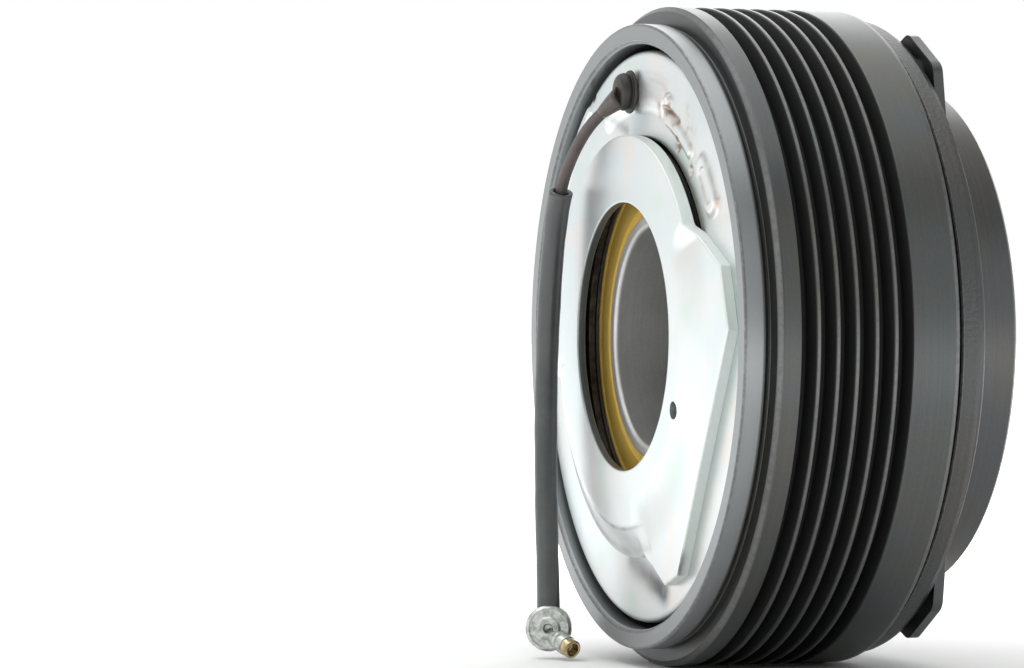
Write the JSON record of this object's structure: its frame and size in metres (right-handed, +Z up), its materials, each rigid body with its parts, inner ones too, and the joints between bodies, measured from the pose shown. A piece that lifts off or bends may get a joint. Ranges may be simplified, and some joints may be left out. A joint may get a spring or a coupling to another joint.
{
  "type": "electromagnetic clutch",
  "caption": "Compressor clutch: grooved belt pulley on a sealed bearing, ring coil on a mounting plate with a wire lead, and a rubber-damped hub with an armature plate.",
  "frame": {"origin": "middle of the bearing's bore, on the turning axis", "axes": "+Y along the turning axis towards the compressor, -Y towards the hub's dished front, +Z up with the lead hanging down"},
  "size_m": [0.12, 0.0678, 0.12],
  "materials": {
    "pulley_steel": "black phosphate, satin",
    "rotor_steel": "black phosphate, satin",
    "bearing_steel": "ground",
    "ball_steel": "polished",
    "cage_nylon": "moulded",
    "seal_rubber": "moulded, ochre",
    "clip_steel": "oiled black",
    "zinc_steel": "blue-white zinc plating",
    "copper_wire": "enamelled copper",
    "bobbin_nylon": "moulded",
    "resin": "cast, brown",
    "lead_rubber": "satin, brown-black",
    "tube_vinyl": "satin",
    "tinned_metal": "tinned, dull",
    "brass": "plain",
    "hub_steel": "turned, satin",
    "cup_steel": "black phosphate, satin",
    "rivet_steel": "satin",
    "damper_rubber": "bonded, matt",
    "sleeve_steel": "black phosphate, satin",
    "armature_steel": "rough, dark",
    "shim_steel": "rolled"
  },
  "bodies": {
    "stator": {"coil_housing": "zinc_steel", "coil_bobbin": "bobbin_nylon", "coil_winding": "copper_wire", "coil_resin": "resin", "mounting_plate": "zinc_steel", "lead_grommet": "lead_rubber", "lead_wire": "lead_rubber", "lead_tube": "tube_vinyl", "terminal_body": "tinned_metal", "terminal_tip": "brass", "bearing_inner_race": "bearing_steel"},
    "rotor": {"grooved_rim": "pulley_steel", "rotor_cup": "rotor_steel", "bearing_outer_race": "bearing_steel", "bearing_seal_front": "seal_rubber", "bearing_seal_rear": "seal_rubber", "bearing_clip": "clip_steel"},
    "cage": {"bearing_cage_front": "cage_nylon", "bearing_cage_rear": "cage_nylon", "bearing_balls_front": "ball_steel", "bearing_balls_rear": "ball_steel"},
    "hub": {"hub_boss": "hub_steel", "hub_rivets": "rivet_steel", "inner_cup": "cup_steel", "air_gap_shims": "shim_steel", "rubber_damper": "damper_rubber"},
    "armature": {"outer_sleeve": "sleeve_steel", "ear_rivets": "rivet_steel", "armature_plate": "armature_steel"}
  },
  "joints": [
    {"name": "pulley_spin", "type": "hinge", "parent": "stator", "child": "rotor", "pos_m": [0, 0, 0], "axis": [0, 1, 0], "continuous": true},
    {"name": "cage_spin", "type": "hinge", "parent": "stator", "child": "cage", "pos_m": [0, 0, 0], "axis": [0, 1, 0], "continuous": true},
    {"name": "hub_spin", "type": "hinge", "parent": "stator", "child": "hub", "pos_m": [0, 0, 0], "axis": [0, 1, 0], "continuous": true},
    {"name": "armature_pull", "type": "slide", "parent": "hub", "child": "armature", "axis": [0, 1, 0], "range_m": [0, 0.00048], "stiffness_N_per_m": 20000, "deforming": ["rubber_damper"]}
  ],
  "couplings": [
    {"joint": "cage_spin", "follows": "pulley_spin", "ratio": 0.5602}
  ]
}
